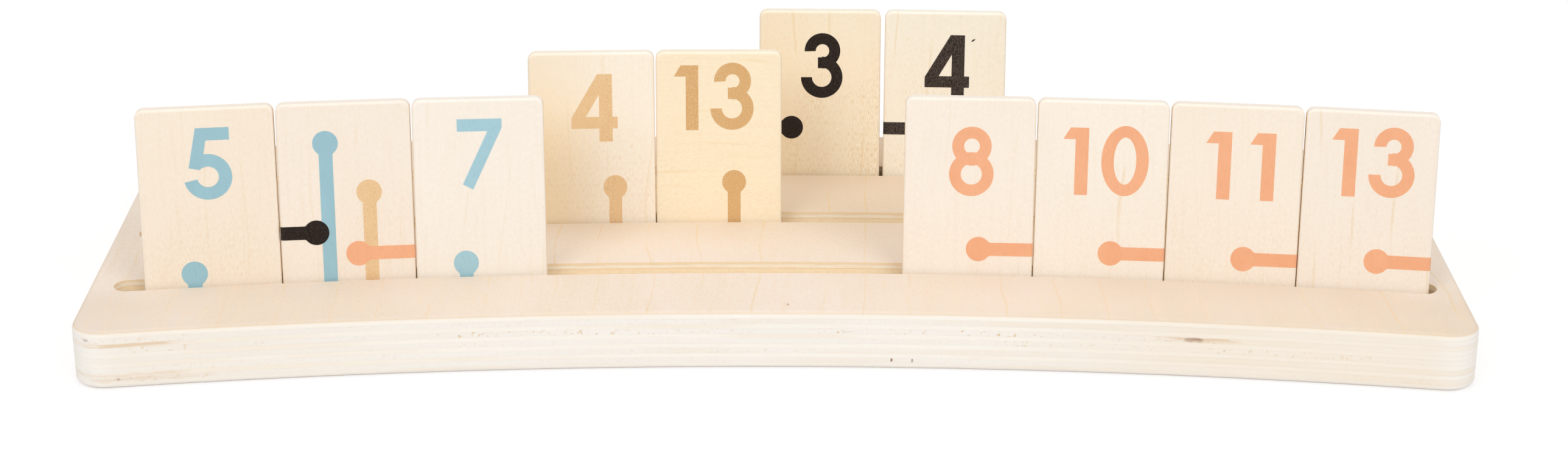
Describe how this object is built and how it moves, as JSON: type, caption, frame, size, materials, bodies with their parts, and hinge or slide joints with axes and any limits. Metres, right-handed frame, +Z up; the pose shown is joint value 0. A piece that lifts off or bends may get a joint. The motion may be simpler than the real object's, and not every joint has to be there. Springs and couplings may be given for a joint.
{
  "type": "number tile rack with tiles",
  "caption": "Curved plywood rack with concentric slots that hold loose wooden number tiles leaning back on edge for a number-matching table game.",
  "frame": {"origin": "on the table, at the bottom centre of the whole object's box", "axes": "+X along the rack to the player's right, +Y away from the player, +Z up"},
  "size_m": [0.338, 0.1334, 0.0579],
  "materials": {
    "rack_face_veneer": "fine-sanded, unvarnished pale veneer, grain front to back",
    "rack_long_ply": "sanded ply edge, grain along the rack",
    "rack_cross_ply": "sanded ply edge, end grain at the front",
    "tile_wood": "fine-sanded pale wood with fine pores",
    "blue_ink": "thin matt screen-printed ink",
    "coral_ink": "thin matt screen-printed ink",
    "gold_ink": "thin screen-printed ink with fine metallic speckle",
    "black_ink": "thin matt screen-printed ink"
  },
  "bodies": {
    "rack": {"rack_bottom_veneer": "rack_face_veneer", "rack_ply_11": "rack_long_ply", "rack_ply_10": "rack_cross_ply", "rack_ply_09": "rack_long_ply", "rack_ply_08": "rack_cross_ply", "rack_ply_07": "rack_long_ply", "rack_ply_06": "rack_cross_ply", "rack_ply_05": "rack_long_ply", "rack_ply_04": "rack_cross_ply", "rack_ply_03": "rack_long_ply", "rack_ply_02": "rack_cross_ply", "rack_ply_01": "rack_long_ply", "rack_top_veneer": "rack_face_veneer"},
    "tile_blue_5": {"tile_blue_5": "tile_wood"},
    "tile_joker": {"tile_joker": "tile_wood"},
    "tile_blue_7": {"tile_blue_7": "tile_wood"},
    "tile_coral_13": {"tile_coral_13": "tile_wood"},
    "tile_coral_11": {"tile_coral_11": "tile_wood"},
    "tile_coral_10": {"tile_coral_10": "tile_wood"},
    "tile_coral_8": {"tile_coral_8": "tile_wood"},
    "tile_gold_4": {"tile_gold_4": "tile_wood"},
    "tile_gold_13": {"tile_gold_13": "tile_wood"},
    "tile_black_3": {"tile_black_3": "tile_wood"},
    "tile_black_4": {"tile_black_4": "tile_wood"}
  },
  "joints": [
    {"name": "lift_tile_blue_5", "type": "slide", "parent": "rack", "child": "tile_blue_5", "axis": [-0.0276, 0.2061, 0.9781], "range_m": [0, 0.06]},
    {"name": "lift_tile_joker", "type": "slide", "parent": "rack", "child": "tile_joker", "axis": [-0.021, 0.2068, 0.9781], "range_m": [0, 0.06]},
    {"name": "lift_tile_blue_7", "type": "slide", "parent": "rack", "child": "tile_blue_7", "axis": [-0.0145, 0.2074, 0.9781], "range_m": [0, 0.06]},
    {"name": "lift_tile_coral_13", "type": "slide", "parent": "rack", "child": "tile_coral_13", "axis": [0.0288, 0.2059, 0.9781], "range_m": [0, 0.06]},
    {"name": "lift_tile_coral_11", "type": "slide", "parent": "rack", "child": "tile_coral_11", "axis": [0.0224, 0.2067, 0.9781], "range_m": [0, 0.06]},
    {"name": "lift_tile_coral_10", "type": "slide", "parent": "rack", "child": "tile_coral_10", "axis": [0.0159, 0.2073, 0.9781], "range_m": [0, 0.06]},
    {"name": "lift_tile_coral_8", "type": "slide", "parent": "rack", "child": "tile_coral_8", "axis": [0.0095, 0.2077, 0.9781], "range_m": [0, 0.06]},
    {"name": "lift_tile_gold_4", "type": "slide", "parent": "rack", "child": "tile_gold_4", "axis": [-0.0091, 0.2077, 0.9781], "range_m": [0, 0.06]},
    {"name": "lift_tile_gold_13", "type": "slide", "parent": "rack", "child": "tile_gold_13", "axis": [-0.0028, 0.2079, 0.9781], "range_m": [0, 0.06]},
    {"name": "lift_tile_black_3", "type": "slide", "parent": "rack", "child": "tile_black_3", "axis": [0.0022, 0.2079, 0.9781], "range_m": [0, 0.06]},
    {"name": "lift_tile_black_4", "type": "slide", "parent": "rack", "child": "tile_black_4", "axis": [0.0084, 0.2077, 0.9781], "range_m": [0, 0.06]}
  ]
}
